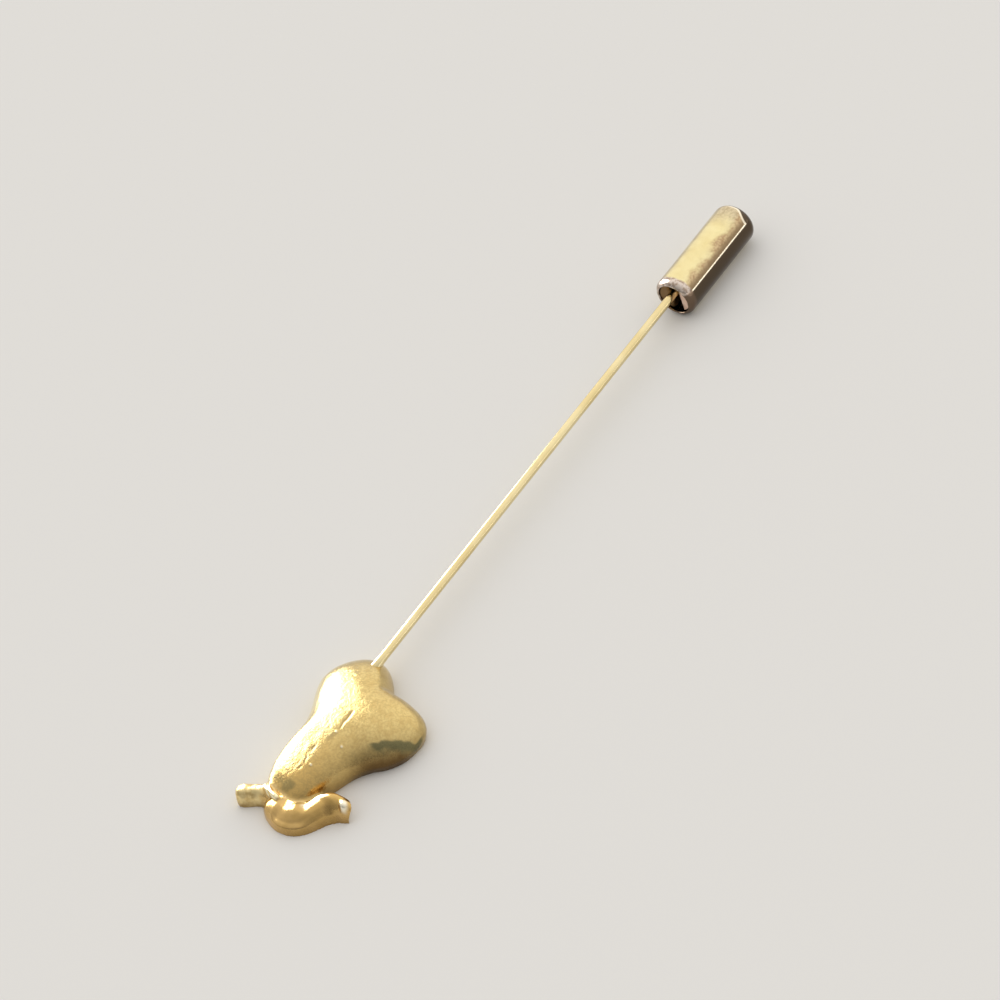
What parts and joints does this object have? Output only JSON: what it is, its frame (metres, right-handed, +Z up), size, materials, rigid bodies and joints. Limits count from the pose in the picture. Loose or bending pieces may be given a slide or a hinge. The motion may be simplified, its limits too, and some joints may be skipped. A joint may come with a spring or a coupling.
{
  "type": "stick pin",
  "caption": "Stick pin with a cast fruit head, a leaf and a stem, on a straight soldered wire with a ground point under a slide-on spring clutch.",
  "frame": {"origin": "on the flat back of the head, straight below the root of the wire, in the plane that the pin lies on", "axes": "+X along the wire from the head to the clutch, +Z up out of the flat back, +Y across the head"},
  "size_m": [0.0758, 0.0125, 0.0041],
  "materials": {
    "cast_gold": "satin",
    "drawn_gold": "polished",
    "spring_brass": "worn"
  },
  "bodies": {
    "pin": {"head_and_wire": "cast_gold"},
    "clutch": {"clutch_barrel": "drawn_gold", "clutch_spring": "spring_brass"}
  },
  "joints": [
    {"name": "clutch_slide", "type": "slide", "parent": "pin", "child": "clutch", "axis": [1, 0, 0], "range_m": [0, 0.015]}
  ]
}
